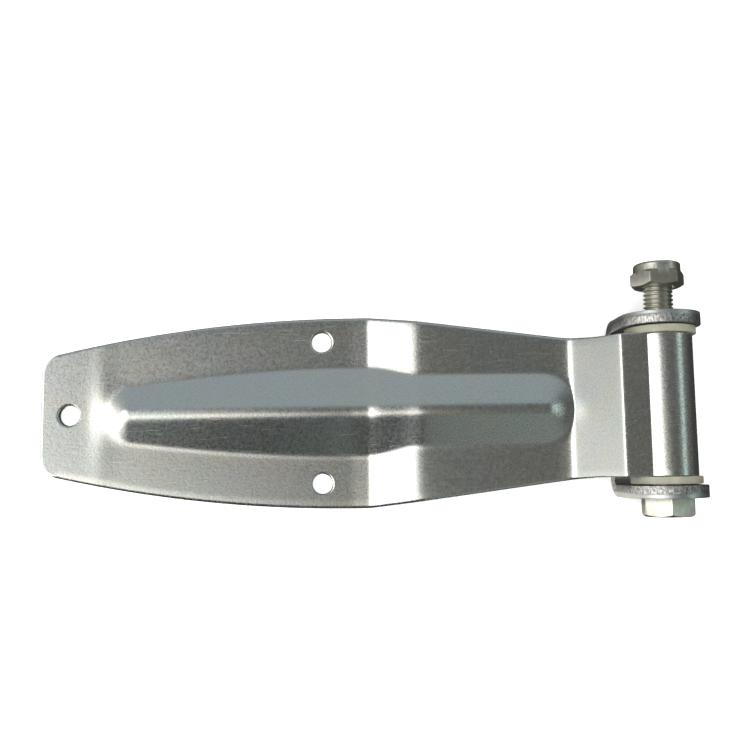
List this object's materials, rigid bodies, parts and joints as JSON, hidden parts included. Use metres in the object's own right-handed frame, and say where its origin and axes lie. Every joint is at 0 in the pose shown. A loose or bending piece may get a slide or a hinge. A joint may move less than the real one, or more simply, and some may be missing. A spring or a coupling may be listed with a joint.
{
  "type": "strap hinge",
  "caption": "Pressed steel strap hinge for a truck body or container door, with a rolled eye on flanged nylon bushes, a bent U bracket, a hex bolt and a nylon-insert lock nut",
  "frame": {"origin": "on the mounting plane, straight below the middle of the hinge pin", "axes": "+X from the strap's free end to the knuckle, +Y along the pin from bolt head to nut, +Z away from the mounting plane"},
  "size_m": [0.273, 0.1027, 0.038],
  "materials": {
    "zinc_plated_sheet": "pressed sheet, bright zinc plated, satin",
    "zinc_plated_plate": "bent plate with sheared edges, bright zinc plated",
    "zinc_plated_fastener": "cold-forged, bright zinc plated",
    "nylon": "moulded natural nylon",
    "insert_nylon": "moulded natural nylon"
  },
  "bodies": {
    "bracket_body": {"bracket": "zinc_plated_plate"},
    "strap_body": {"strap": "zinc_plated_sheet", "nut_side_bush": "nylon", "head_side_bush": "nylon"},
    "bolt_body": {"hinge_bolt": "zinc_plated_fastener"},
    "nut_body": {"lock_nut": "zinc_plated_fastener", "nut_insert": "insert_nylon"}
  },
  "joints": [
    {"name": "strap_swing", "type": "hinge", "parent": "bracket_body", "child": "strap_body", "pos_m": [0, 0, 0.022], "axis": [0, 1, 0], "range_deg": [0, 210]},
    {"name": "bolt_spin", "type": "hinge", "parent": "bracket_body", "child": "bolt_body", "pos_m": [0, 0, 0.022], "axis": [0, 1, 0], "range_deg": [0, 2340]},
    {"name": "nut_travel", "type": "slide", "parent": "bracket_body", "child": "nut_body", "axis": [0, -1, 0], "range_m": [0, 0.0114]}
  ],
  "couplings": [
    {"joint": "nut_travel", "follows": "bolt_spin", "m_per_rad": 0.00027852}
  ]
}
